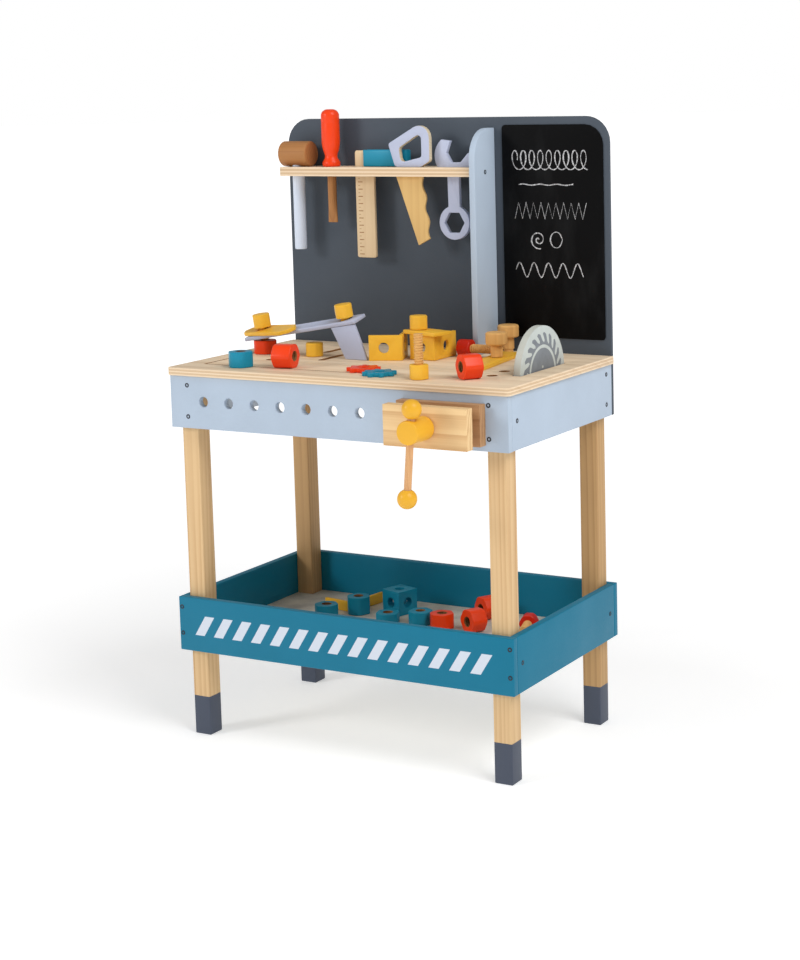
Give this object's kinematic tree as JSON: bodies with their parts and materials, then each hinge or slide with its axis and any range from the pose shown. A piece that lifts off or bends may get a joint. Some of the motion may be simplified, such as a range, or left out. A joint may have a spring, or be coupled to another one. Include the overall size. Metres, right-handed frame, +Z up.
{
  "type": "toy workbench",
  "caption": "Child's wooden toy workbench with a tool board, shelf tools, a turning vise, a saw disc and a parts tray.",
  "frame": {"origin": "on the floor, under the middle of the whole bench with its vise", "axes": "+Z up, +X to the right of a child who stands at the bench, +Y from the child towards the tool board"},
  "size_m": [0.5, 0.3808, 0.8133],
  "materials": {
    "plywood": "satin",
    "pine": "satin",
    "beech": "satin",
    "painted_pale_blue": "satin",
    "painted_slate": "satin",
    "chalkboard_black": "matte",
    "painted_teal": "satin",
    "tray_grey": "matte",
    "painted_yellow": "satin",
    "painted_red": "satin",
    "printed_grey": "matte"
  },
  "bodies": {
    "bench": {"worktop": "plywood", "apron_front": "painted_pale_blue", "apron_left": "painted_pale_blue", "apron_right": "painted_pale_blue", "backboard": "painted_slate", "chalkboard": "chalkboard_black", "divider": "painted_pale_blue", "shelf": "plywood", "leg_front_left": "pine", "leg_back_left": "pine", "leg_front_right": "pine", "leg_back_right": "pine", "tray_front": "painted_teal", "tray_back": "painted_teal", "tray_left": "painted_teal", "tray_right": "painted_teal", "tray_floor": "tray_grey", "vise_fixed_jaw": "pine", "saw_keeper": "plywood"},
    "vise_slide": {"vise_moving_jaw": "pine", "vise_guide_left": "pine", "vise_guide_right": "pine"},
    "vise_turner": {"vise_screw": "pine", "vise_knob": "painted_yellow"},
    "vise_handle": {"vise_bar": "beech", "vise_ball_upper": "painted_yellow", "vise_ball_lower": "painted_yellow"},
    "round_saw": {"saw_disc": "printed_grey", "saw_axle": "pine"},
    "mallet": {"mallet_head": "beech", "mallet_handle": "painted_pale_blue"},
    "screwdriver": {"screwdriver_handle": "painted_red", "screwdriver_shaft": "beech"},
    "try_square": {"square_blade": "plywood", "square_stock": "painted_teal"},
    "handsaw": {"handsaw_handle": "painted_pale_blue", "handsaw_blade": "pine"},
    "spanner": {"wrench": "painted_pale_blue"},
    "crane": {"crane_nut": "painted_red", "crane_beam": "painted_pale_blue", "crane_strip": "painted_yellow", "crane_bolt_front": "painted_yellow", "crane_bolt_back": "painted_yellow", "crane_leg": "painted_pale_blue"},
    "bracket_model": {"bracket_left": "painted_yellow", "bracket_right": "painted_yellow", "bracket_plate": "painted_yellow", "bracket_bolt": "painted_yellow"},
    "rail": {"yellow_rail": "painted_yellow"},
    "loose_blue_nut": {"blue_nut": "painted_teal"},
    "loose_red_nut": {"red_nut": "painted_red"},
    "loose_orange_nut": {"orange_nut": "painted_red"},
    "loose_hole_bolt": {"hole_bolt": "painted_yellow"},
    "loose_upturned_bolt": {"upturned_bolt": "painted_yellow"},
    "loose_red_bolt": {"red_bolt": "painted_red"},
    "loose_red_gear": {"red_gear": "painted_red"},
    "loose_blue_gear": {"blue_gear": "painted_teal"},
    "loose_wooden_peg_front": {"wooden_peg_front": "beech"},
    "loose_wooden_peg_back": {"wooden_peg_back": "beech"},
    "loose_tray_cube": {"tray_cube": "painted_teal"}
  },
  "joints": [
    {"name": "vise_jaw_slide", "type": "slide", "parent": "bench", "child": "vise_slide", "axis": [0, 1, 0], "range_m": [-0.025, 0.017]},
    {"name": "vise_screw_turn", "type": "hinge", "parent": "vise_slide", "child": "vise_turner", "pos_m": [0.159, -0.14745, 0.4445], "axis": [0, 1, 0], "range_deg": [-1125, 765]},
    {"name": "vise_bar_slide", "type": "slide", "parent": "vise_turner", "child": "vise_handle", "axis": [0.0872, 0, 0.9962], "range_m": [0, 0.0525]},
    {"name": "round_saw_turn", "type": "hinge", "parent": "bench", "child": "round_saw", "pos_m": [0.213, 0.04545, 0.485], "axis": [1, 0, 0], "continuous": true},
    {"name": "mallet_lift", "type": "slide", "parent": "bench", "child": "mallet", "axis": [0, 0, 1], "range_m": [0, 0.12]},
    {"name": "screwdriver_lift", "type": "slide", "parent": "bench", "child": "screwdriver", "axis": [0, 0, 1], "range_m": [0, 0.08]},
    {"name": "try_square_lift", "type": "slide", "parent": "bench", "child": "try_square", "axis": [0, 0, 1], "range_m": [0, 0.13]},
    {"name": "handsaw_lift", "type": "slide", "parent": "bench", "child": "handsaw", "axis": [0, 0, 1], "range_m": [0, 0.11]},
    {"name": "spanner_lift", "type": "slide", "parent": "bench", "child": "spanner", "axis": [0, 0, 1], "range_m": [0, 0.115]},
    {"name": "crane_lift", "type": "slide", "parent": "bench", "child": "crane", "axis": [0, 0, 1], "range_m": [0, 0.06]},
    {"name": "bracket_model_lift", "type": "slide", "parent": "bench", "child": "bracket_model", "axis": [0, 0, 1], "range_m": [0, 0.06]},
    {"name": "rail_lift", "type": "slide", "parent": "bench", "child": "rail", "axis": [0, 0, 1], "range_m": [0, 0.05]},
    {"name": "blue_nut_lift", "type": "slide", "parent": "bench", "child": "loose_blue_nut", "axis": [0, 0, 1], "range_m": [0, 0.05]},
    {"name": "red_nut_lift", "type": "slide", "parent": "bench", "child": "loose_red_nut", "axis": [0, 0, 1], "range_m": [0, 0.05]},
    {"name": "orange_nut_lift", "type": "slide", "parent": "bench", "child": "loose_orange_nut", "axis": [0, 0, 1], "range_m": [0, 0.05]},
    {"name": "upturned_bolt_lift", "type": "slide", "parent": "bench", "child": "loose_upturned_bolt", "axis": [0, 0, 1], "range_m": [0, 0.05]},
    {"name": "red_gear_lift", "type": "slide", "parent": "bench", "child": "loose_red_gear", "axis": [0, 0, 1], "range_m": [0, 0.05]},
    {"name": "blue_gear_lift", "type": "slide", "parent": "bench", "child": "loose_blue_gear", "axis": [0, 0, 1], "range_m": [0, 0.05]},
    {"name": "wooden_peg_back_lift", "type": "slide", "parent": "bench", "child": "loose_wooden_peg_back", "axis": [0, 0, 1], "range_m": [0, 0.05]},
    {"name": "tray_cube_lift", "type": "slide", "parent": "bench", "child": "loose_tray_cube", "axis": [0, 0, 1], "range_m": [0, 0.06]},
    {"name": "hole_bolt_lift", "type": "slide", "parent": "bench", "child": "loose_hole_bolt", "axis": [0, 0, 1], "range_m": [0, 0.009]},
    {"name": "wooden_peg_front_lift", "type": "slide", "parent": "rail", "child": "loose_wooden_peg_front", "axis": [0, 0, 1], "range_m": [0, 0.05]},
    {"name": "red_bolt_lift", "type": "slide", "parent": "rail", "child": "loose_red_bolt", "axis": [0, 0, 1], "range_m": [0, 0.05]}
  ],
  "couplings": [
    {"joint": "vise_jaw_slide", "follows": "vise_screw_turn", "m_per_rad": 0.0012732}
  ]
}
